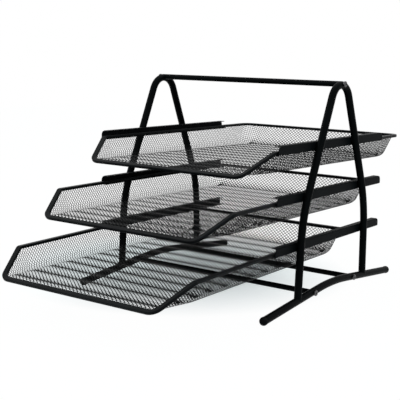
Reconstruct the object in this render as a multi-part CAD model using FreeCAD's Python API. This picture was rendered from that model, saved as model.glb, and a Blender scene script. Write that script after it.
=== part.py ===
import FreeCAD, Part
import math
import os
from FreeCAD import Vector

# Three-tier letter tray: a bent tube frame with three mesh trays that slide in open rails.
# Millimetres and degrees, +Z up. The trays pull out towards -Y, and +X is on the right
# for someone who faces the front. The model is built with y = 0 in the plane of the handle
# and is moved at the end, so that its origin is on the desk at the middle of its footprint.

# Frame tubes
frameHeight = 275.0
hoopSpacing = 280.0        # between the planes of the two leg hoops
tubeDia = 9.5
tubeWall = 1.0
apexRadius = 24.0          # of the tube's centre line
upperLean = 23.3           # of the legs above the knee, from upright
lowerLean = 2.2            # of the legs below it
kneeHeight = 113.0
kneeRadius = 175.0
footReach = 163.0          # from the handle's plane to the end of the foot tube
footSlope = 5.7
archRadius = 375.0
weldGap = 0.05             # between two curved faces that are welded

# Bars and their screws
handleDia = 7.2
crossBarDia = 7.0
crossBarSetback = 52.5     # from the handle's plane
screwDia = 4.0
screwHeadDia = 7.4
screwHeadHeight = 2.2
screwHeadRound = 1.0
screwGrip = 12.0           # length of screw inside a bar
screwHoleClearance = 0.2   # around the shank in the tube
threadClearance = 0.05     # around the shank in the bar
socketAcross = 2.5
socketDepth = 1.4

# Foot caps
capHeadDia = 10.3
capHeadLength = 6.0
capPlugLength = 12.0
capPlugClearance = 0.1
footLift = 0.35            # from the desk to the foot tube

# Rails
railLength = 275.0
railSetback = 2.5          # of the rail's middle, behind the handle's plane
railHeight = 11.2
railDepth = 7.8
railWall = 0.9
railBend = 1.5             # outer radius of the folds
railEndRound = 5.6         # of the upper corners at both ends, seen from the side
railPitch = 59.8
bottomRailHeight = 77.8    # of its middle, above the desk

# Tray rim, with its flat side level
rimWidth = 6.2
rimThickness = 3.8
rimRound = 1.0
rimSideClearance = 1.45    # to the rail's web
rideClearance = 0.25       # over the rail's lower flange
rimBackRadius = 12.0
rimBend = 6.0              # where the level sides turn down
rimLipRadius = 13.0
trayLevelLength = 338.0    # from the turn down to the back of the rim's centre line
lipRun = 43.0              # of the sloping front
lipDrop = 25.4
lipHalfWidth = 111.0       # where the slopes would meet the lip without its round corners

# Tray pan, a sheet as thick as the mesh
sheetThickness = 1.0
panDepth = 27.5            # from the rim's middle to the floor's underside, halfway along
floorFall = 4.0            # of the floor from the turn down to the back
sideLean = 9.0
backLean = 18.0
floorRound = 8.0           # between the floor and the walls
panCornerRadius = 10.0     # at the rim
floorCornerRadius = 28.0
wallOverlap = 0.6          # of the wall's top with the rim, across the wall
taperStart = 8.0           # the sides begin to close in this far behind the turn down
ribPitch = 25.7
ribWidth = 5.0
ribTopWidth = 2.0
ribHeight = 1.6
ribEndGap = 10.0           # from the rib's end to the round of the wall
frontRibGap = 10.0         # from the lip to the first rib

# A coarse grid of openings through the pan, which stands for the fine mesh
gridColumns = 8
gridPitch = 26.0
gridOpening = 22.4         # across, in the floor and the back wall
gridRibGap = 1.5           # from a rib's foot to the openings beside it
sideOpening = 21.5         # along, in the side walls
wallOpeningTop = 3.5       # below the rim's middle
wallOpeningBottom = 17.3

# How far each tray is pulled out in the rest pose, and its share of the rails' free play
pulledOut = {"top": 0.0, "middle": 82.2, "bottom": 150.5}
dipShare = {"top": 0.0, "middle": 0.46, "bottom": 1.0}
endGap = 0.5               # from the rail's front end to the turn down, with the tray fully in

# Worked out from the sizes above
railFront = railSetback - railLength / 2
tubeRadius = tubeDia / 2
boreRadius = tubeRadius - tubeWall
hoopX = hoopSpacing / 2
handleHeight = frameHeight - handleDia / 2
footEndHeight = footLift + tubeRadius * math.cos(math.radians(footSlope))
railFaceX = hoopX - tubeRadius - weldGap
rimHalfWidth = railFaceX - railWall - rimSideClearance - rimWidth / 2
rimInnerX = rimHalfWidth - rimWidth / 2
tiers = ["bottom", "middle", "top"]


def roundedPath(points, radii, closed=False):
    """Straight lines through the points, with an arc of the given radius at each corner."""
    count = len(points)
    corners = range(count) if closed else range(1, count - 1)
    ends = {}
    arcs = {}
    for i in corners:
        here = points[i]
        arriving = (here - points[i - 1]).normalize()
        leaving = (points[(i + 1) % count] - here).normalize()
        turn = arriving.getAngle(leaving)
        radius = radii[i]
        if radius == 0 or turn < 1e-6:
            ends[i] = (here, here)
            continue
        reach = radius * math.tan(turn / 2)
        inward = (leaving - arriving).normalize()
        middle = here + inward * (radius / math.cos(turn / 2) - radius)
        ends[i] = (here - arriving * reach, here + leaving * reach)
        arcs[i] = Part.Arc(ends[i][0], middle, ends[i][1]).toShape()
    edges = []
    last = count if closed else count - 1
    for i in range(last):
        following = (i + 1) % count
        start = ends[i][1] if i in ends else points[i]
        finish = ends[following][0] if following in ends else points[following]
        if (finish - start).Length > 1e-6:
            edges.append(Part.makeLine(start, finish))
        if following in arcs:
            edges.append(arcs[following])
    return Part.Wire(Part.__sortEdges__(edges))


def prism(points, radii, direction):
    """A flat outline with round corners, pushed along a direction."""
    return Part.Face(roundedPath(points, radii, closed=True)).extrude(direction)


def sweepRound(path, radius):
    """A solid round bar along a path."""
    start = path.OrderedEdges[0]
    along = start.tangentAt(start.FirstParameter)
    circle = Part.Wire(Part.makeCircle(radius, start.valueAt(start.FirstParameter), along))
    return path.makePipeShell([circle], True, False)


def rodAlongX(radius, x0, x1, y, z):
    return Part.makeCylinder(radius, x1 - x0, Vector(x0, y, z), Vector(1, 0, 0))


def mirroredX(shape):
    return shape.mirror(Vector(0, 0, 0), Vector(1, 0, 0))


def onSide(shape, side):
    """Shapes are built on the right, and side is 1 for the right and -1 for the left."""
    return shape if side > 0 else mirroredX(shape)


def footHeightAt(y):
    """Height of the foot bar's centre line, on its straight part."""
    return footEndHeight + (footReach - abs(y)) * math.tan(math.radians(footSlope))


def hoopPath():
    upper = math.tan(math.radians(upperLean))
    lower = math.tan(math.radians(lowerLean))
    slope = math.tan(math.radians(footSlope))
    arcCentre = frameHeight - tubeRadius - apexRadius
    vertex = arcCentre + apexRadius / math.sin(math.radians(upperLean))
    kneeY = (vertex - kneeHeight) * upper
    # the leg ends where it meets the foot bar's centre line
    flat = footEndHeight + (footReach - kneeY - kneeHeight * lower) * slope
    endZ = flat / (1 - lower * slope)
    endY = kneeY + (kneeHeight - endZ) * lower
    points = [
        Vector(hoopX, -endY, endZ),
        Vector(hoopX, -kneeY, kneeHeight),
        Vector(hoopX, 0, vertex),
        Vector(hoopX, kneeY, kneeHeight),
        Vector(hoopX, endY, endZ),
    ]
    return roundedPath(points, [0, kneeRadius, apexRadius, kneeRadius, 0])


def footPath():
    points = [
        Vector(hoopX, -footReach, footEndHeight),
        Vector(hoopX, 0, footHeightAt(0)),
        Vector(hoopX, footReach, footEndHeight),
    ]
    return roundedPath(points, [0, archRadius, 0])


def legHoop(side):
    hoop = sweepRound(hoopPath(), tubeRadius).cut(sweepRound(hoopPath(), boreRadius))
    hoop = hoop.cut(sweepRound(footPath(), tubeRadius + weldGap))
    hole = rodAlongX(screwDia / 2 + screwHoleClearance, hoopX - tubeDia, hoopX + tubeDia, 0, handleHeight)
    return onSide(hoop.cut(hole), side)


def footBar(side):
    bar = sweepRound(footPath(), tubeRadius).cut(sweepRound(footPath(), boreRadius))
    for y in (-crossBarSetback, crossBarSetback):
        radius = screwDia / 2 + screwHoleClearance
        hole = rodAlongX(radius, hoopX - tubeDia, hoopX + tubeDia, y, footHeightAt(y))
        bar = bar.cut(hole)
    return onSide(bar, side)


def footCap(side, end):
    """A plug for the end of the foot tube: end is -1 at the front and 1 at the rear."""
    plugRadius = boreRadius - capPlugClearance
    headRadius = capHeadDia / 2
    domeRadius = headRadius * 0.9
    outline = [
        Vector(-capPlugLength, 0, 0),
        Vector(-capPlugLength, plugRadius, 0),
        Vector(0, plugRadius, 0),
        Vector(0, headRadius, 0),
        Vector(capHeadLength, headRadius, 0),
        Vector(capHeadLength, 0, 0),
    ]
    face = Part.Face(roundedPath(outline, [0, plugRadius / 3, 0, 0, domeRadius, 0], closed=True))
    cap = face.revolve(Vector(0, 0, 0), Vector(1, 0, 0), 360)
    cap.rotate(Vector(0, 0, 0), Vector(0, 0, 1), 90)
    cap.rotate(Vector(0, 0, 0), Vector(1, 0, 0), -footSlope)
    cap.translate(Vector(hoopX, footReach, footEndHeight))
    if end < 0:
        cap = cap.mirror(Vector(0, 0, 0), Vector(0, 1, 0))
    # the head is flat where it stands on the desk
    below = Part.makeBox(hoopSpacing, 2 * (footReach + capHeadDia), capHeadDia)
    below.translate(Vector(0, -footReach - capHeadDia, -capHeadDia))
    return onSide(cap.cut(below), side)


def barBetween(radius, y, z, seatPath):
    """A round bar whose ends are shaped to two tubes and drilled for screws."""
    bar = rodAlongX(radius, -hoopX, hoopX, y, z)
    seat = sweepRound(seatPath, tubeRadius + weldGap)
    hole = screwHole(y, z)
    for side in (-1, 1):
        bar = bar.cut(onSide(seat, side)).cut(onSide(hole, side))
    return bar


def screwHole(y, z):
    """The threaded hole in a bar's right end, as long as the screw in it and a little more."""
    return rodAlongX(screwDia / 2 + threadClearance, hoopX - tubeRadius - screwGrip - 1, hoopX, y, z)


def screw(y, z):
    """A button head screw on the right, with its head on the outer side of the tube."""
    headX = hoopX + tubeRadius
    head = rodAlongX(screwHeadDia / 2, headX, headX + screwHeadHeight, y, z)
    rim = [e for e in head.Edges if e.BoundBox.XMin > headX + screwHeadHeight - 0.01]
    head = head.makeFillet(screwHeadRound, [e for e in rim if e.Closed])
    shank = rodAlongX(screwDia / 2, hoopX - tubeRadius - screwGrip, headX + 0.1, y, z)
    corners = []
    for k in range(6):
        turn = math.radians(60 * k)
        reach = socketAcross / 2 / math.cos(math.radians(30))
        corner = Vector(headX + screwHeadHeight - socketDepth, y, z)
        corners.append(corner + Vector(0, reach * math.cos(turn), reach * math.sin(turn)))
    socket = prism(corners, [0] * 6, Vector(screwHeadHeight, 0, 0))
    return head.fuse(shank).removeSplitter().cut(socket)


def handleScrews():
    right = screw(0, handleHeight)
    return Part.makeCompound([right, mirroredX(right)])


def crossBarScrews():
    screws = []
    for y in (-crossBarSetback, crossBarSetback):
        right = screw(y, footHeightAt(y))
        screws += [right, mirroredX(right)]
    return Part.makeCompound(screws)


def railMiddle(tier):
    return bottomRailHeight + tiers.index(tier) * railPitch


def rail(side, tier):
    """An open channel, welded with its web against the legs, its opening towards the tray."""
    half = railHeight / 2
    inner = half - railWall
    edge = railFaceX - railDepth
    web = railFaceX - railWall
    z = railMiddle(tier)
    outline = [
        (railFaceX, -half), (railFaceX, half), (edge, half), (edge, inner),
        (web, inner), (web, -inner), (edge, -inner), (edge, -half),
    ]
    fold = railBend - railWall
    radii = [railBend, railBend, 0, 0, fold, fold, 0, 0]
    points = [Vector(x, railFront, z + dz) for x, dz in outline]
    channel = prism(points, radii, Vector(0, railLength, 0))
    rear = railFront + railLength
    sideView = [
        Vector(edge - 1, railFront, z - half), Vector(edge - 1, rear, z - half),
        Vector(edge - 1, rear, z + half), Vector(edge - 1, railFront, z + half),
    ]
    envelope = prism(sideView, [0, 0, railEndRound, railEndRound], Vector(railDepth + 2, 0, 0))
    return onSide(channel.common(envelope), side)


def trayRim():
    """Half of the closed loop, from the middle of the back to the middle of the lip, and its mirror."""
    points = [
        Vector(0, trayLevelLength, 0),
        Vector(rimHalfWidth, trayLevelLength, 0),
        Vector(rimHalfWidth, 0, 0),
        Vector(lipHalfWidth, -lipRun, -lipDrop),
        Vector(0, -lipRun, -lipDrop),
    ]
    path = roundedPath(points, [0, rimBackRadius, rimBend, rimLipRadius, 0])
    w, t = rimWidth / 2, rimThickness / 2
    corners = [(-w, -t), (w, -t), (w, t), (-w, t)]
    section = [Vector(0, trayLevelLength + dy, dz) for dy, dz in corners]
    profile = roundedPath(section, [rimRound] * 4, closed=True)
    half = path.makePipeShell([profile], True, False)
    return half.fuse(mirroredX(half)).removeSplitter()


def wallInset(height, depth, lean, radius):
    """How far the wall is inside its top edge, at a height over the floor's surface."""
    slant = math.radians(lean)
    tangentHeight = radius * (1 - math.sin(slant))
    if height >= tangentHeight:
        return (depth - height) * math.tan(slant)
    turn = math.acos(1 - height / radius)
    return (depth - tangentHeight) * math.tan(slant) + radius * (math.cos(slant) - math.sin(turn))


def floorSink(y):
    """How much lower the floor is than halfway along."""
    return floorFall * (y / trayLevelLength - 0.5)


def panBlock(offset):
    """A solid with the outside of the pan, or its inside when offset is the sheet's thickness."""
    depth = panDepth - offset
    radius = floorRound - offset
    topX = rimInnerX + wallOverlap - offset / math.cos(math.radians(sideLean))
    topY = trayLevelLength - rimWidth / 2 + wallOverlap - offset / math.cos(math.radians(backLean))
    heights = [radius * (1 - math.cos(math.radians(turn))) for turn in (0, 25, 50, 75)]
    outlines = []
    for height in heights + [radius, depth]:
        z = height - depth
        lowness = -z / depth
        corner = panCornerRadius + (floorCornerRadius - panCornerRadius) * lowness - offset
        sideX = topX - wallInset(height, depth, sideLean, radius)
        backY = topY - wallInset(height, depth, backLean, radius)
        # in front of the taper's start the wall heads for the rim's slope at this height
        share = -z / lipDrop
        slopeX = topX - (rimHalfWidth - lipHalfWidth) * share
        slopeY = -lipRun * share
        closing = (sideX - slopeX) / (taperStart - slopeY)
        frontY = -lipRun * panDepth / lipDrop - rimWidth
        frontX = sideX - closing * (taperStart - frontY)
        right = [(frontX, frontY), (sideX, taperStart), (sideX, backY)]
        points = [Vector(x, y, z - lowness * floorSink(y)) for x, y in right]
        points += [Vector(-p.x, p.y, p.z) for p in reversed(points)]
        outlines.append(roundedPath(points, [0, 0, corner, corner, 0, 0], closed=True))
    return Part.makeLoft(outlines, True, True)


def ribRows():
    first = -lipRun + frontRibGap
    last = trayLevelLength - wallInset(0, panDepth, backLean, floorRound) - ribEndGap
    return [first + k * ribPitch for k in range(int((last - first) / ribPitch) + 1)]


def ribPrisms(offset):
    """The pressed ribs, as solids that stand this far above the underside of the floor."""
    reach = rimInnerX - wallInset(0, panDepth, sideLean, floorRound) - ribEndGap
    ribs = []
    for y in ribRows():
        half, top = ribWidth / 2, ribTopWidth / 2
        corners = [(-half, 0), (half, 0), (top, ribHeight), (-top, ribHeight)]
        base = offset - panDepth - floorSink(y)
        section = [Vector(-reach, y + dy, base + dz) for dy, dz in corners]
        ribs.append(prism(section, [0] * 4, Vector(2 * reach, 0, 0)))
    return Part.makeCompound(ribs)


def blockAround(x, y, z, length, width, height):
    return Part.makeBox(length, width, height, Vector(x - length / 2, y - width / 2, z - height / 2))


def gridBlocks():
    """What is cut out of the pan: one row of openings behind each rib, and one row in each wall."""
    cornerX = rimInnerX + wallOverlap - wallInset(0, panDepth, sideLean, floorRound) - floorCornerRadius
    backY = trayLevelLength - wallInset(0, panDepth, backLean, floorRound)
    cornerY = backY - floorCornerRadius
    wallHeight = wallOpeningBottom - wallOpeningTop
    wallZ = -(wallOpeningBottom + wallOpeningTop) / 2
    rowLength = ribPitch - ribWidth - 2 * gridRibGap
    columns = [(k - (gridColumns - 1) / 2) * gridPitch for k in range(gridColumns)]
    blocks = []
    for rib in ribRows():
        y = rib + ribPitch / 2
        for x in columns:
            # the last row stays off the floor's round corners
            if y < cornerY or abs(x) + gridOpening / 2 < cornerX:
                blocks.append(blockAround(x, y, -panDepth, gridOpening, rowLength, panDepth / 2))
        if taperStart + sideOpening / 2 < y < cornerY:
            blocks.append(blockAround(0, y, wallZ, hoopSpacing, sideOpening, wallHeight))
    for x in columns:
        blocks.append(blockAround(x, backY, wallZ, gridOpening, 2 * floorCornerRadius, wallHeight))
    return Part.makeCompound(blocks)


def trayPan(rim):
    """The pressed sheet, open at the front above the rim's slope."""
    pan = panBlock(0).cut(panBlock(sheetThickness))
    below = -panDepth - 10
    ahead = -lipRun - 60
    frontOpening = [
        Vector(-hoopX, 0, 0), Vector(-hoopX, -lipRun, -lipDrop), Vector(-hoopX, -lipRun, below),
        Vector(-hoopX, ahead, below), Vector(-hoopX, ahead, 10), Vector(-hoopX, 0, 10),
    ]
    pan = pan.cut(prism(frontOpening, [0] * 6, Vector(hoopSpacing, 0, 0)))
    pan = pan.fuse(ribPrisms(sheetThickness)).cut(ribPrisms(0))
    return pan.cut(gridBlocks()).cut(rim)


def dipAngle(tier):
    """A tray that is pulled out tips about the rails' front ends by the play in the rails."""
    play = railHeight - 2 * railWall - rimThickness - 2 * rideClearance
    return math.degrees(math.atan(dipShare[tier] * play / railLength))


def placedTray(shape, tier):
    """Moves a tray piece into its rails, in the rest pose."""
    placed = shape.copy()
    rimUnderside = railMiddle(tier) - railHeight / 2 + railWall + rideClearance
    turnDownY = railFront - endGap - pulledOut[tier]
    placed.translate(Vector(0, turnDownY, rimUnderside + rimThickness / 2))
    pivot = Vector(0, railFront, rimUnderside)
    placed.rotate(pivot, Vector(1, 0, 0), dipAngle(tier))
    return placed


def buildNodes():
    nodes = {}
    for sideName, side in (("left", -1), ("right", 1)):
        nodes[sideName + "_leg_hoop"] = legHoop(side)
        nodes[sideName + "_foot_bar"] = footBar(side)
        for endName, end in (("front", -1), ("rear", 1)):
            nodes[endName + "_" + sideName + "_foot_cap"] = footCap(side, end)
        for tier in tiers:
            nodes[tier + "_" + sideName + "_rail"] = rail(side, tier)
    nodes["handle_bar"] = barBetween(handleDia / 2, 0, handleHeight, hoopPath())
    for endName, y in (("front", -crossBarSetback), ("rear", crossBarSetback)):
        nodes[endName + "_cross_bar"] = barBetween(crossBarDia / 2, y, footHeightAt(y), footPath())
    nodes["handle_screws"] = handleScrews()
    nodes["cross_bar_screws"] = crossBarScrews()
    rim = trayRim()
    pan = trayPan(rim)
    for tier in tiers:
        nodes[tier + "_tray_rim"] = placedTray(rim, tier)
        nodes[tier + "_tray_pan"] = placedTray(pan, tier)
    return nodes


nodes = buildNodes()
box = Part.makeCompound(list(nodes.values())).optimalBoundingBox()
toFootprintMiddle = Vector(0, -(box.YMin + box.YMax) / 2, 0)
os.makedirs("parts", exist_ok=True)
for name, shape in nodes.items():
    shape.translate(toFootprintMiddle)
    shape.exportStep("parts/" + name + ".step")
print("moved along y by", round(toFootprintMiddle.y, 4))
print("nodes", len(nodes), "width", round(box.XLength, 2), "length", round(box.YLength, 2),
      "height", round(box.ZMax, 2), "lowest", round(box.ZMin, 3))
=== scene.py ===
import bpy, math
from mathutils import Matrix, Vector


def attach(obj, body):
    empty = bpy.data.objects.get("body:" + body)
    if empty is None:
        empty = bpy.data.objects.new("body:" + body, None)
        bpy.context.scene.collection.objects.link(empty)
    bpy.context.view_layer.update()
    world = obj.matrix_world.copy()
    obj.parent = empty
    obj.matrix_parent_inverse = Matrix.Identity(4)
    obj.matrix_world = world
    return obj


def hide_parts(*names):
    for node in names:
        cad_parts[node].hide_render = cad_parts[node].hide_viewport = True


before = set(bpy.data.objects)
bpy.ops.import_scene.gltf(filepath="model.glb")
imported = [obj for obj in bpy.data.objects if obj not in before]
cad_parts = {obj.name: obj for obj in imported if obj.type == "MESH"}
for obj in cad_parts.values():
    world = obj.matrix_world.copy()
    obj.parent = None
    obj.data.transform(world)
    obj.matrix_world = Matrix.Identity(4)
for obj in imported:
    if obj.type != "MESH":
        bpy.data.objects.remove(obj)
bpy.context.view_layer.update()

mm = 0.001
print("frame loaded,", len(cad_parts), "CAD nodes")


def newObject(name, data):
    piece = bpy.data.objects.new(name, data)
    bpy.context.scene.collection.objects.link(piece)
    return piece


def newGroup(name, inputs, outputs):
    group = bpy.data.node_groups.new(name, "ShaderNodeTree")
    for label, kind, value in inputs:
        socket = group.interface.new_socket(name=label, in_out="INPUT", socket_type=kind)
        socket.default_value = value
    for label, kind in outputs:
        group.interface.new_socket(name=label, in_out="OUTPUT", socket_type=kind)
    return group, group.nodes.new("NodeGroupInput"), group.nodes.new("NodeGroupOutput")


def addNode(tree, kind, **settings):
    node = tree.nodes.new(kind)
    for key, value in settings.items():
        setattr(node, key, value)
    return node


def feed(tree, socket, value):
    # a constant goes on the socket itself, anything else is linked to it
    if isinstance(value, (int, float)):
        socket.default_value = value
    else:
        tree.links.new(value, socket)


def mathNode(tree, operation, first, second, clamp=False):
    node = addNode(tree, "ShaderNodeMath", operation=operation, use_clamp=clamp)
    feed(tree, node.inputs[0], first)
    feed(tree, node.inputs[1], second)
    return node.outputs[0]


def mapRange(tree, value, low, high, toLow, toHigh):
    node = addNode(tree, "ShaderNodeMapRange")
    labels = ("Value", "From Min", "From Max", "To Min", "To Max")
    for label, setting in zip(labels, (value, low, high, toLow, toHigh)):
        feed(tree, node.inputs[label], setting)
    return node.outputs["Result"]


def noise(tree, vector, scale, detail, roughness=0.5):
    node = addNode(tree, "ShaderNodeTexNoise")
    tree.links.new(vector, node.inputs["Vector"])
    feed(tree, node.inputs["Scale"], scale)
    node.inputs["Detail"].default_value = detail
    node.inputs["Roughness"].default_value = roughness
    return node.outputs["Fac"]


def makeGrainGroup():
    # the fine orange peel of a baked powder coat, with specks of dull and bright grains
    group, given, out = newGroup(
        "powderGrain",
        [("Peel Scale", "NodeSocketFloat", 900.0), ("Speck Scale", "NodeSocketFloat", 2600.0),
         ("Speck Share", "NodeSocketFloat", 0.35)],
        [("Height", "NodeSocketFloat"), ("Specks", "NodeSocketFloat"), ("Clouds", "NodeSocketFloat")])
    place = addNode(group, "ShaderNodeTexCoord").outputs["Object"]
    peel = noise(group, place, given.outputs["Peel Scale"], 2.0, 0.45)
    speck = noise(group, place, given.outputs["Speck Scale"], 1.0, 0.6)
    clouds = noise(group, place, 22.0, 4.0, 0.55)
    scaled = mathNode(group, "MULTIPLY", speck, given.outputs["Speck Share"])
    height = mathNode(group, "ADD", peel, scaled)
    group.links.new(height, out.inputs["Height"])
    group.links.new(mapRange(group, speck, 0.52, 0.72, 0.0, 1.0), out.inputs["Specks"])
    group.links.new(mapRange(group, clouds, 0.35, 0.65, 0.0, 1.0), out.inputs["Clouds"])
    return group


def makeWearGroup():
    # rubbed edges: where the surface turns sharply, broken up by noise
    group, given, out = newGroup(
        "edgeWear",
        [("Reach", "NodeSocketFloat", 0.0006), ("Break Up", "NodeSocketFloat", 160.0),
         ("Amount", "NodeSocketFloat", 0.5)],
        [("Mask", "NodeSocketFloat")])
    bevel = addNode(group, "ShaderNodeBevel", samples=4)
    group.links.new(given.outputs["Reach"], bevel.inputs["Radius"])
    plain = addNode(group, "ShaderNodeNewGeometry")
    dot = addNode(group, "ShaderNodeVectorMath", operation="DOT_PRODUCT")
    group.links.new(bevel.outputs["Normal"], dot.inputs[0])
    group.links.new(plain.outputs["Normal"], dot.inputs[1])
    turned = mathNode(group, "SUBTRACT", 1.0, dot.outputs["Value"])
    place = addNode(group, "ShaderNodeTexCoord").outputs["Object"]
    patches = noise(group, place, given.outputs["Break Up"], 4.0, 0.6)
    patchy = mapRange(group, patches, 0.45, 0.65, 0.0, 1.0)
    edge = mapRange(group, turned, 0.03, 0.2, 0.0, 1.0)
    worn = mathNode(group, "MULTIPLY", edge, patchy)
    mask = mathNode(group, "MULTIPLY", worn, given.outputs["Amount"], clamp=True)
    group.links.new(mask, out.inputs["Mask"])
    return group


def makeDustGroup():
    # a thin film of dust on what faces upwards
    group, given, out = newGroup(
        "dustFilm",
        [("Amount", "NodeSocketFloat", 0.2), ("Patch Scale", "NodeSocketFloat", 35.0)],
        [("Mask", "NodeSocketFloat")])
    geometry = addNode(group, "ShaderNodeNewGeometry")
    split = addNode(group, "ShaderNodeSeparateXYZ")
    group.links.new(geometry.outputs["Normal"], split.inputs[0])
    place = addNode(group, "ShaderNodeTexCoord").outputs["Object"]
    patches = noise(group, place, given.outputs["Patch Scale"], 5.0, 0.6)
    upward = mapRange(group, split.outputs["Z"], 0.2, 1.0, 0.0, 1.0)
    patchy = mapRange(group, patches, 0.3, 0.7, 0.25, 1.0)
    film = mathNode(group, "MULTIPLY", upward, patchy)
    mask = mathNode(group, "MULTIPLY", film, given.outputs["Amount"], clamp=True)
    group.links.new(mask, out.inputs["Mask"])
    return group


grainGroup = makeGrainGroup()
wearGroup = makeWearGroup()
dustGroup = makeDustGroup()
print("node groups made")


# a cool sheen, and the depth of the powder's grain in metres
sheenTint = (0.90, 0.98, 1.0, 1.0)
grainDepth = 0.0004
coats = {
    "frameCoat": {
        "slot": "frame_coat", "dark": (0.0010, 0.0014, 0.0016), "light": (0.0022, 0.0030, 0.0034),
        "worn": (0.020, 0.021, 0.022), "dust": (0.06, 0.06, 0.06), "roughLow": 0.36, "roughHigh": 0.50,
        "specular": 0.02, "peel": 900.0, "bump": 0.06, "wear": 0.35, "dustAmount": 0.03,
    },
    "railCoat": {
        "slot": "rail_coat", "dark": (0.0020, 0.0028, 0.0034), "light": (0.0040, 0.0052, 0.0060),
        "worn": (0.025, 0.026, 0.027), "dust": (0.06, 0.06, 0.06), "roughLow": 0.42, "roughHigh": 0.56,
        "specular": 0.02, "peel": 900.0, "bump": 0.06, "wear": 0.35, "dustAmount": 0.05,
    },
    "rimCoat": {
        "slot": "rim_coat", "dark": (0.0018, 0.0024, 0.0028), "light": (0.0040, 0.0050, 0.0056),
        "worn": (0.022, 0.023, 0.024), "dust": (0.06, 0.06, 0.06), "roughLow": 0.36, "roughHigh": 0.50,
        "specular": 0.05, "peel": 950.0, "bump": 0.05, "wear": 0.4, "dustAmount": 0.06,
    },
    "meshCoat": {
        "slot": "mesh_coat", "dark": (0.0020, 0.0026, 0.0028), "light": (0.0042, 0.0052, 0.0056),
        "worn": (0.030, 0.031, 0.032), "dust": (0.12, 0.12, 0.12), "roughLow": 0.30, "roughHigh": 0.45,
        "specular": 0.01, "peel": 1500.0, "bump": 0.03, "wear": 0.0, "dustAmount": 0.05,
    },
    "footPlastic": {
        "slot": "foot_plastic", "dark": (0.0020, 0.0024, 0.0026), "light": (0.0042, 0.0048, 0.0052),
        "worn": (0.020, 0.020, 0.021), "dust": (0.10, 0.10, 0.10), "roughLow": 0.50, "roughHigh": 0.68,
        "specular": 0.03, "peel": 500.0, "bump": 0.04, "wear": 0.3, "dustAmount": 0.1,
    },
}


def placeGroup(tree, group, **values):
    node = addNode(tree, "ShaderNodeGroup", node_tree=group)
    for label, value in values.items():
        node.inputs[label.replace("_", " ")].default_value = value
    return node


def blendColours(tree, factor, first, second):
    node = addNode(tree, "ShaderNodeMix", data_type="RGBA")
    tree.links.new(factor, node.inputs["Factor"])
    for letter, value in (("A", first), ("B", second)):
        socket = [s for s in node.inputs if s.name == letter and s.type == "RGBA"][0]
        if isinstance(value, tuple):
            socket.default_value = (*value, 1.0)
        else:
            tree.links.new(value, socket)
    return [s for s in node.outputs if s.type == "RGBA"][0]


def addBump(tree, height, strength, distance):
    bump = addNode(tree, "ShaderNodeBump")
    bump.inputs["Strength"].default_value = strength
    bump.inputs["Distance"].default_value = distance
    tree.links.new(height, bump.inputs["Height"])
    tree.links.new(bump.outputs["Normal"], tree.nodes["Principled BSDF"].inputs["Normal"])


def makeCoat(name, coat):
    material = bpy.data.materials.new(name)
    material.use_nodes = True
    tree = material.node_tree
    shader = tree.nodes["Principled BSDF"]
    grain = placeGroup(tree, grainGroup, Peel_Scale=coat["peel"])
    dust = placeGroup(tree, dustGroup, Amount=coat["dustAmount"])
    colour = blendColours(tree, grain.outputs["Clouds"], coat["dark"], coat["light"])
    if coat["wear"] > 0:
        wear = placeGroup(tree, wearGroup, Amount=coat["wear"])
        colour = blendColours(tree, wear.outputs["Mask"], colour, coat["worn"])
    colour = blendColours(tree, dust.outputs["Mask"], colour, coat["dust"])
    tree.links.new(colour, shader.inputs["Base Color"])
    rough = mapRange(tree, grain.outputs["Specks"], 0.0, 1.0, coat["roughLow"], coat["roughHigh"])
    tree.links.new(rough, shader.inputs["Roughness"])
    shader.inputs["Specular IOR Level"].default_value = coat["specular"]
    shader.inputs["Specular Tint"].default_value = sheenTint
    addBump(tree, grain.outputs["Height"], coat["bump"], grainDepth)
    return material


def makeScrewSteel():
    settings = {
        "dark": (0.05, 0.05, 0.052), "light": (0.10, 0.10, 0.104), "worn": (0.5, 0.5, 0.5),
        "roughLow": 0.28, "roughHigh": 0.45, "turning": 4200.0, "bump": 0.05, "depth": 0.0002,
        "wearReach": 0.0003, "wear": 0.6,
    }
    material = bpy.data.materials.new("screwSteel")
    material.use_nodes = True
    tree = material.node_tree
    shader = tree.nodes["Principled BSDF"]
    grain = placeGroup(tree, grainGroup, Peel_Scale=settings["turning"])
    wear = placeGroup(tree, wearGroup, Reach=settings["wearReach"], Amount=settings["wear"])
    colour = blendColours(tree, grain.outputs["Clouds"], settings["dark"], settings["light"])
    colour = blendColours(tree, wear.outputs["Mask"], colour, settings["worn"])
    tree.links.new(colour, shader.inputs["Base Color"])
    rough = mapRange(tree, grain.outputs["Specks"], 0.0, 1.0, settings["roughLow"], settings["roughHigh"])
    tree.links.new(rough, shader.inputs["Roughness"])
    shader.inputs["Metallic"].default_value = 1.0
    addBump(tree, grain.outputs["Height"], settings["bump"], settings["depth"])
    return material


materials = {coat["slot"]: makeCoat(name, coat) for name, coat in coats.items()}
materials["screw_steel"] = makeScrewSteel()
print("materials made")


nodeFinish = {
    "leg_hoop": "frame_coat", "foot_bar": "frame_coat", "handle_bar": "frame_coat",
    "cross_bar": "frame_coat", "rail": "rail_coat", "tray_rim": "rim_coat",
    "tray_pan": "mesh_coat", "foot_cap": "foot_plastic", "screws": "screw_steel",
}
for name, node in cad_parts.items():
    finish = [slotName for ending, slotName in nodeFinish.items() if name.endswith(ending)][0]
    node.data.materials.clear()
    node.data.materials.append(materials[finish])
print("CAD nodes painted")


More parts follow.
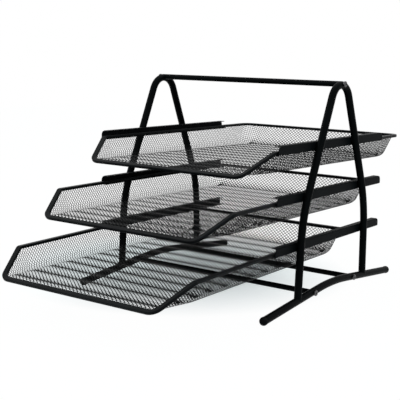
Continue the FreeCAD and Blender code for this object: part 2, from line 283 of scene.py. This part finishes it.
sheet = {
    # the pressed sheet, in millimetres, in the tray's own frame: y from the turn down, z from the rim
    "levelLength": 338.0, "lipRun": 43.0, "lipDrop": 25.4, "lipHalfWidth": 111.0,
    "rimHalfWidth": 129.75, "rimWidth": 6.2, "wallOverlap": 0.6, "depth": 27.5, "floorFall": 4.0,
    "sideLean": 9.0, "backLean": 18.0, "floorRound": 8.0, "rimCorner": 10.0, "floorCorner": 28.0,
    "taperStart": 8.0, "middleSurface": 0.3,
    # how finely its round lower edge and its walls are followed, and how far past the rim
    "roundSteps": 14, "roundStep": 6, "wallSteps": 6, "wallRise": 0.5,
    # the pressed waves of the floor: their slope, where they turn, and how far they reach
    "linePitch": 28.7, "firstLine": -26.65, "waveSlope": 0.30, "waveTurn": 0.38,
    "waveReach": 112.0, "waveFade": 10.0,
    # how far the diamonds close, near each wave's line and right on it
    "nearShut": 0.42, "nearReach": 14.0, "lineShut": 0.75, "lineReach": 6.5, "mostShut": 0.96,
}
pattern = {
    # one diamond of the expanded steel; its strands, on the floor and on the walls, fit the photo's tones
    "long": 5.6, "short": 4.1, "strand": 0.86, "wallStrand": 0.64,
    "thick": 0.15, "wallThick": 0.22, "lean": 0.04,
    # where the strands change from floor to wall, and where a diamond counts as part of the walls
    "changeFrom": 3.0, "changeOver": 6.0, "wallFrom": 2.2,
    # the sheet goes this far under the rim, and no diamond starts nearer than this to its edge
    "underRim": 0.3, "rimMargin": 1.2, "sideMargin": 24, "backMargin": 26,
}
trays = {
    # where each tray sits in its rails at rest
    "top": {"railMiddle": 197.4, "out": 0.0, "dip": 0.0},
    "middle": {"railMiddle": 137.6, "out": 82.2, "dip": 0.46},
    "bottom": {"railMiddle": 77.8, "out": 150.5, "dip": 1.0},
}
seat = {
    # the rails, how the rims sit in them, and the shift to the footprint's middle
    "railFront": -135.0, "railLength": 275.0, "railHeight": 11.2, "railWall": 0.9,
    "rimThickness": 3.8, "ride": 0.25, "endGap": 0.5, "footprintShift": 63.1065,
}


def wallInset(height, depth, lean, radius):
    slant = math.radians(lean)
    tangentHeight = radius * (1 - math.sin(slant))
    if height >= tangentHeight:
        return (depth - height) * math.tan(slant)
    turn = math.acos(1 - height / radius)
    return (depth - tangentHeight) * math.tan(slant) + radius * (math.cos(slant) - math.sin(turn))


def sheetLevels():
    # outlines of the sheet at rising heights over its floor
    s = sheet
    depth = s["depth"] - s["middleSurface"]
    radius = s["floorRound"] - s["middleSurface"]
    topX = s["rimHalfWidth"] - s["rimWidth"] / 2 + s["wallOverlap"] - s["middleSurface"]
    topY = s["levelLength"] - s["rimWidth"] / 2 + s["wallOverlap"] - s["middleSurface"]
    angles = [math.radians(s["roundStep"] * k) for k in range(s["roundSteps"] + 1)]
    heights = [radius * (1 - math.cos(angle)) for angle in angles]
    straight = depth + s["wallRise"] - radius
    heights += [radius + straight * k / s["wallSteps"] for k in range(s["wallSteps"] + 1)]
    levels = []
    for height in heights:
        low = (depth - height) / depth
        side = topX - wallInset(height, depth, s["sideLean"], radius)
        back = topY - wallInset(height, depth, s["backLean"], radius)
        corner = s["rimCorner"] + (s["floorCorner"] - s["rimCorner"]) * low - s["middleSurface"]
        share = (depth - height) / s["lipDrop"]
        slopeX = topX - (s["rimHalfWidth"] - s["lipHalfWidth"]) * share
        closing = (side - slopeX) / (s["taperStart"] + s["lipRun"] * share)
        levels.append({"height": height, "low": low, "side": side, "back": back,
                       "corner": corner, "closing": closing})
    return levels


levels = sheetLevels()
floorLevel = levels[0]
sheetDepth = sheet["depth"] - sheet["middleSurface"]
cornerX = floorLevel["side"] - floorLevel["corner"]
cornerY = floorLevel["back"] - floorLevel["corner"]


def rayToLevel(alongX, alongY, level):
    # from the floor corner's centre out to the sheet, at one level
    middleX = level["side"] - level["corner"]
    middleY = level["back"] - level["corner"]
    if alongX > 1e-9:
        reach = (level["side"] - cornerX) / alongX
        if cornerY + reach * alongY <= middleY:
            return reach
    if alongY > 1e-9:
        reach = (level["back"] - cornerY) / alongY
        if cornerX + reach * alongX <= middleX:
            return reach
    px, py = cornerX - middleX, cornerY - middleY
    b = px * alongX + py * alongY
    return -b + math.sqrt(max(0.0, b * b - px * px - py * py + level["corner"] ** 2))


def heightProfile(reaches):
    # length up the wall against height, from the horizontal reach at every level
    lengths = [0.0]
    for i in range(1, len(levels)):
        step = math.hypot(reaches[i] - reaches[i - 1], levels[i]["height"] - levels[i - 1]["height"])
        lengths.append(lengths[-1] + step)
    return lengths


def levelAt(lengths, distance):
    i = 1
    while i < len(lengths) - 1 and lengths[i] < distance:
        i += 1
    return i, (distance - lengths[i - 1]) / (lengths[i] - lengths[i - 1])


sideLengths = heightProfile([level["side"] for level in levels])
backLengths = heightProfile([level["back"] for level in levels])


def between(i, share, key):
    return levels[i - 1][key] * (1 - share) + levels[i][key] * share


def waveRise(x, y):
    # the pressed waves: steepest down at each line, then a short trough and a longer hump behind it
    s = sheet
    share = (y - s["firstLine"]) / s["linePitch"] % 1.0
    turn = s["waveTurn"]
    if share < turn:
        wave = share * share / turn - share
    else:
        wave = (share - turn) - (share - turn) ** 2 / (1 - turn)
    sideEnds = max(0.0, (s["waveReach"] - abs(x)) / s["waveFade"])
    ends = min(1.0, sideEnds, max(0.0, (y + s["lipRun"]) / s["waveFade"]))
    return s["waveSlope"] * s["linePitch"] * (wave + turn / 4) * ends * ends * (3 - 2 * ends)


def pressedShut(x, y):
    # how far the holes close towards each line, fitted to how dark the photo's lines are
    s = sheet
    if abs(x) >= s["waveReach"]:
        return 0.0
    off = abs(y - s["firstLine"] - round((y - s["firstLine"]) / s["linePitch"]) * s["linePitch"])
    near = s["nearShut"] * max(0.0, 1 - off / s["nearReach"])
    line = s["lineShut"] * max(0.0, 1 - off / s["lineReach"])
    return min(near + line, s["mostShut"])


def sheetPoint(u, v):
    # folds a point of the flat sheet up into the tray
    side = -1 if u < 0 else 1
    u = abs(u)
    v = max(v, -sheet["lipRun"])
    taper = max(0.0, sheet["taperStart"] - v)
    x, y, height, low = u, v, 0.0, 1.0
    edge = floorLevel["side"] - floorLevel["closing"] * taper
    if v <= cornerY:
        if u > edge:
            i, share = levelAt(sideLengths, u - edge)
            x = between(i, share, "side") - between(i, share, "closing") * taper
            height, low = between(i, share, "height"), between(i, share, "low")
    elif u <= cornerX:
        if v > floorLevel["back"]:
            i, share = levelAt(backLengths, v - floorLevel["back"])
            y = between(i, share, "back")
            height, low = between(i, share, "height"), between(i, share, "low")
    else:
        out = math.hypot(u - cornerX, v - cornerY)
        if out > floorLevel["corner"]:
            alongX, alongY = (u - cornerX) / out, (v - cornerY) / out
            reaches = [rayToLevel(alongX, alongY, level) for level in levels]
            lengths = heightProfile(reaches)
            i, share = levelAt(lengths, out - floorLevel["corner"])
            reach = reaches[i - 1] * (1 - share) + reaches[i] * share
            x, y = cornerX + alongX * reach, cornerY + alongY * reach
            height, low = between(i, share, "height"), between(i, share, "low")
    sink = sheet["floorFall"] * (y / sheet["levelLength"] - 0.5)
    z = height - sheetDepth - low * sink
    if height == 0.0:
        z += waveRise(u, v)
    return Vector((side * x, y, z))


def sheetTop(y):
    # the rim's level, which slopes down to the lip
    return min(0.0, y * sheet["lipDrop"] / sheet["lipRun"])


def sheetFrame(u, v):
    # a point of the sheet and the normal there
    here, step = sheetPoint(u, v), 0.2
    across = sheetPoint(u + step, v) - sheetPoint(u - step, v)
    along = sheetPoint(u, v + step) - sheetPoint(u, v - step)
    normal = across.cross(along)
    return here, normal.normalized() if normal.length > 1e-6 else Vector((0, 0, 1))


def buildLattice():
    # each diamond by its four corners, the part that it belongs to and half its strands' thickness
    p = pattern
    halfLong, halfShort = p["long"] / 2, p["short"] / 2
    shrink = p["strand"] / 2 * math.hypot(1 / halfLong, 1 / halfShort)
    wallShrink = shrink * p["wallStrand"] / p["strand"]
    towards = [(halfLong, 0), (0, halfShort), (-halfLong, 0), (0, -halfShort)]
    spanU = int((sheet["rimHalfWidth"] + p["sideMargin"]) / halfLong) + 1
    firstV = int(-sheet["lipRun"] / halfShort) - 2
    lastV = int((sheet["levelLength"] + p["backMargin"]) / halfShort) + 1
    wallLevel = sheet["floorFall"] / 2 - sheetDepth + p["wallFrom"]
    holes = {}
    for i in range(-spanU, spanU + 1):
        for j in range(firstV, lastV + 1):
            u, v = i * halfLong, j * halfShort
            if (i + j) % 2 == 0 or v + halfShort < -sheet["lipRun"]:
                continue
            # on the walls the strands are narrower and the sheet is thicker, to match the photo's tones
            raised = (sheetPoint(u, v).z + sheetDepth - p["changeFrom"]) / p["changeOver"]
            raised = min(1.0, max(0.0, raised))
            opening = (1 - shrink - (wallShrink - shrink) * raised) * (1 - pressedShut(u, v) * (1 - raised))
            corners = [sheetFrame(u + du * opening, v + dv * opening) for du, dv in towards]
            if min(here.z - sheetTop(here.y) for here, normal in corners) > -p["rimMargin"]:
                continue
            onWall = any(here.z > wallLevel and abs(here.x) > cornerX for here, normal in corners)
            thick = p["thick"] + (p["wallThick"] - p["thick"]) * raised
            holes[(i, j)] = (corners, "Walls" if onWall else "Floor", thick / 2)
    return holes


def latticeMeshes():
    # the sides of the holes, and the strands and knuckles between them
    holes = buildLattice()
    rise = [0, pattern["lean"], 0, -pattern["lean"]]
    parts = {"Floor": ([], []), "Walls": ([], [])}
    index = {"Floor": {}, "Walls": {}}

    def vertices(part, key):
        # a hole's first point in a part: the upper and lower one of each corner follow
        known = index[part]
        if key not in known:
            points = parts[part][0]
            known[key] = len(points)
            corners, ownPart, half = holes[key]
            for k, (here, normal) in enumerate(corners):
                top = sheetTop(here.y) + pattern["underRim"]
                for up in (half, -half):
                    point = here + normal * (up + rise[k])
                    point.z = min(point.z, top)
                    points.append(point)
        return known[key]

    def addBoth(faces, ring):
        # a face on the upper side, and its twin below
        faces.append(ring)
        faces.append([n + 1 for n in reversed(ring)])

    for (i, j), (corners, part, half) in holes.items():
        faces = parts[part][1]
        start = vertices(part, (i, j))
        for k in range(4):
            here, following = start + 2 * k, start + 2 * ((k + 1) % 4)
            faces.append((here, here + 1, following + 1, following))
        # strands towards the two neighbours on the right
        for stepJ, mine, theirs in ((1, (0, 1), (2, 3)), (-1, (3, 0), (1, 2))):
            other = (i + 1, j + stepJ)
            if other in holes:
                base = vertices(part, other)
                addBoth(faces, [start + 2 * mine[0], base + 2 * theirs[1],
                                base + 2 * theirs[0], start + 2 * mine[1]])
        # the knuckle on the right, between four holes
        around = [((i, j), 0), ((i + 1, j - 1), 1), ((i + 2, j), 2), ((i + 1, j + 1), 3)]
        if all(key in holes for key, corner in around):
            addBoth(faces, [vertices(part, key) + 2 * corner for key, corner in around])
    return parts


def placeTray(tier):
    # the same seat in the rails as the rim's
    spot = trays[tier]
    under = spot["railMiddle"] - seat["railHeight"] / 2 + seat["railWall"] + seat["ride"]
    play = seat["railHeight"] - 2 * seat["railWall"] - seat["rimThickness"] - 2 * seat["ride"]
    tip = math.atan(spot["dip"] * play / seat["railLength"])
    pivot = Vector((0, seat["railFront"], under))
    turnDown = seat["railFront"] - seat["endGap"] - spot["out"]
    seated = Vector((0, turnDown, under + seat["rimThickness"] / 2))
    turn = Matrix.Translation(pivot) @ Matrix.Rotation(tip, 4, "X") @ Matrix.Translation(-pivot)
    shift = Matrix.Translation(Vector((0, seat["footprintShift"], 0)))
    return Matrix.Scale(mm, 4) @ shift @ turn @ Matrix.Translation(seated)


for label, (points, faces) in latticeMeshes().items():
    print("lattice", label, len(points), "points", len(faces), "faces")
    base = bpy.data.meshes.new("lattice" + label)
    base.from_pydata(points, [], faces)
    base.polygons.foreach_set("use_smooth", [False] * len(base.polygons))
    base.update()
    base.materials.append(materials["mesh_coat"])
    for tier in trays:
        mesh = base.copy()
        mesh.transform(placeTray(tier))
        piece = newObject(tier + "Tray" + label, mesh)
        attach(piece, tier + "_tray")
        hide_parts(tier + "_tray_pan")
print("trays meshed")


studio = {
    # lengths in metres; the shadow on the paper fades out around shadowMiddle, placed for the photo's view,
    # where the paper's glow and its colour carry a painted cool shade tint
    "worldGrey": 0.55, "shadowNear": 0.80, "shadowFar": 0.02, "fadeFrom": 0.12, "fadeTo": 0.25,
    "shadowMiddle": (-0.11, 0.06, 0.0), "paperLight": 0.55,
    "skyTint": (0.90, 0.985, 1.0), "paintedShadeTint": (0.89, 0.972, 0.985),
    "floorDull": (0.79, 0.865, 0.87), "floorColour": (0.83, 0.90, 0.905),
    "floorSize": 6.0, "floorDrop": 0.0002, "floorCells": 48,
}
lamps = {
    "keyLamp": {"place": (-1.1, -1.3, 1.5), "size": (1.2, 1.2), "power": 9.0},
    "fillLamp": {"place": (1.6, -0.6, 0.9), "size": (1.2, 1.0), "power": 4.0},
    "topLamp": {"place": (0.0, 0.4, 1.9), "size": (1.6, 1.6), "power": 7.0},
}
lampTarget = (0, 0, 0.1)


def seenRays(tree):
    # 1 for what the camera sees, also in a reflection or through something clear
    rays = addNode(tree, "ShaderNodeLightPath")
    seen = mathNode(tree, "MAXIMUM", rays.outputs["Is Camera Ray"], rays.outputs["Is Glossy Ray"])
    return mathNode(tree, "MAXIMUM", seen, rays.outputs["Is Transmission Ray"])


def makeWorld():
    world = bpy.data.worlds.new("studioWorld")
    bpy.context.scene.world = world
    world.use_nodes = True
    tree = world.node_tree
    background = tree.nodes["Background"]
    seen = seenRays(tree)
    # a little cool where it only lights, plain white where it is seen
    tint = blendColours(tree, seen, studio["skyTint"], (1.0, 1.0, 1.0))
    tree.links.new(tint, background.inputs["Color"])
    tree.links.new(mapRange(tree, seen, 0.0, 1.0, studio["worldGrey"], 1.0), background.inputs["Strength"])


def makeLamp(name, place, size, power):
    lamp = bpy.data.lights.new(name, "AREA")
    lamp.shape = "RECTANGLE"
    lamp.size, lamp.size_y = size
    lamp.energy = power
    piece = newObject(name, lamp)
    piece.location = place
    piece.rotation_euler = (Vector(lampTarget) - Vector(place)).to_track_quat("-Z", "Y").to_euler()


def makeFloor():
    # a sheet of white paper under the object, just below its feet
    size, cells = studio["floorSize"], studio["floorCells"]
    points = [((i / cells - 0.5) * size, (j / cells - 0.5) * size, -studio["floorDrop"])
              for i in range(cells + 1) for j in range(cells + 1)]
    starts = [i * (cells + 1) + j for i in range(cells) for j in range(cells)]
    faces = [(n, n + cells + 1, n + cells + 2, n + 1) for n in starts]
    mesh = bpy.data.meshes.new("studioFloor")
    mesh.from_pydata(points, [], faces)
    mesh.polygons.foreach_set("use_smooth", [False] * len(mesh.polygons))
    newObject("studioFloor", mesh)
    material = bpy.data.materials.new("floorPaper")
    material.use_nodes = True
    tree = material.node_tree
    shader = tree.nodes["Principled BSDF"]
    place = addNode(tree, "ShaderNodeTexCoord").outputs["Object"]
    tone = mapRange(tree, noise(tree, place, 3.0, 3.0), 0.3, 0.7, 0.0, 1.0)
    # the paper's colour is a cool grey, which tints the rendered shade on it: a painted cool cast to the
    # shade
    colour = blendColours(tree, tone, studio["floorDull"], studio["floorColour"])
    tree.links.new(colour, shader.inputs["Base Color"])
    shader.inputs["Roughness"].default_value = 0.9
    shader.inputs["Specular IOR Level"].default_value = 0.1
    seen = seenRays(tree)
    # white paper: near shadowMiddle its white glow is dimmed so that the object's rendered shadow shows,
    # fading out further away, and the glow there is tinted cool as painted cool shade
    reach = addNode(tree, "ShaderNodeVectorMath", operation="DISTANCE")
    tree.links.new(place, reach.inputs[0])
    reach.inputs[1].default_value = studio["shadowMiddle"]
    shadow = mapRange(tree, reach.outputs["Value"], studio["fadeFrom"], studio["fadeTo"],
                      studio["shadowNear"], studio["shadowFar"])
    white = addNode(tree, "ShaderNodeEmission")
    glow = mapRange(tree, shadow, 0.0, 1.0, 1.0, 1.0 - studio["paperLight"])
    tree.links.new(mathNode(tree, "MULTIPLY", seen, glow), white.inputs["Strength"])
    # the glow turns from white to a cool tint near shadowMiddle: painted cool shade on the paper under the
    # object
    tree.links.new(blendColours(tree, shadow, (1.0, 1.0, 1.0), studio["paintedShadeTint"]), white.inputs["Color"])
    plain = mathNode(tree, "MULTIPLY", seen, mathNode(tree, "SUBTRACT", 1.0, shadow))
    lit = mathNode(tree, "SUBTRACT", 1.0, plain)
    dark = addNode(tree, "ShaderNodeEmission")
    dark.inputs["Strength"].default_value = 0.0
    paper = addNode(tree, "ShaderNodeMixShader")
    tree.links.new(lit, paper.inputs[0])
    tree.links.new(dark.outputs[0], paper.inputs[1])
    tree.links.new(shader.outputs[0], paper.inputs[2])
    both = addNode(tree, "ShaderNodeAddShader")
    tree.links.new(paper.outputs[0], both.inputs[0])
    tree.links.new(white.outputs[0], both.inputs[1])
    tree.links.new(both.outputs[0], tree.nodes["Material Output"].inputs["Surface"])
    mesh.materials.append(material)


makeWorld()
makeFloor()
for name, lamp in lamps.items():
    makeLamp(name, **lamp)
print("studio lit")


photo = {
    # fitted to the photograph: degrees, pixels of a 400 pixel frame, millimetres
    "azimuth": 35.3, "elevation": 9.83, "roll": 1.29, "focal": 900.09,
    "centreX": 208.52, "centreY": 208.98, "place": (659.4, -948.694, 305.7), "frameSize": 400.0,
    "sensorWidth": 36.0, "clipStart": 0.05,
}


def makeCamera():
    az, el, roll = (math.radians(photo[key]) for key in ("azimuth", "elevation", "roll"))
    forward = Vector((-math.sin(az) * math.cos(el), math.cos(az) * math.cos(el), -math.sin(el)))
    right = forward.cross(Vector((0, 0, 1))).normalized()
    up = right.cross(forward).normalized()
    rolledRight = right * math.cos(roll) + up * math.sin(roll)
    rolledUp = up * math.cos(roll) - right * math.sin(roll)
    data = bpy.data.cameras.new("photoCamera")
    camera = newObject("photoCamera", data)
    camera.matrix_world = Matrix((
        (rolledRight.x, rolledUp.x, -forward.x, photo["place"][0] * mm),
        (rolledRight.y, rolledUp.y, -forward.y, photo["place"][1] * mm),
        (rolledRight.z, rolledUp.z, -forward.z, photo["place"][2] * mm),
        (0, 0, 0, 1)))
    data.sensor_width = photo["sensorWidth"]
    data.lens = photo["focal"] * photo["sensorWidth"] / photo["frameSize"]
    data.shift_x = (photo["frameSize"] / 2 - photo["centreX"]) / photo["frameSize"]
    data.shift_y = (photo["centreY"] - photo["frameSize"] / 2) / photo["frameSize"]
    data.clip_start = photo["clipStart"]
    bpy.context.scene.camera = camera


makeCamera()
bpy.context.scene.view_settings.view_transform = "Standard"
print("camera set")
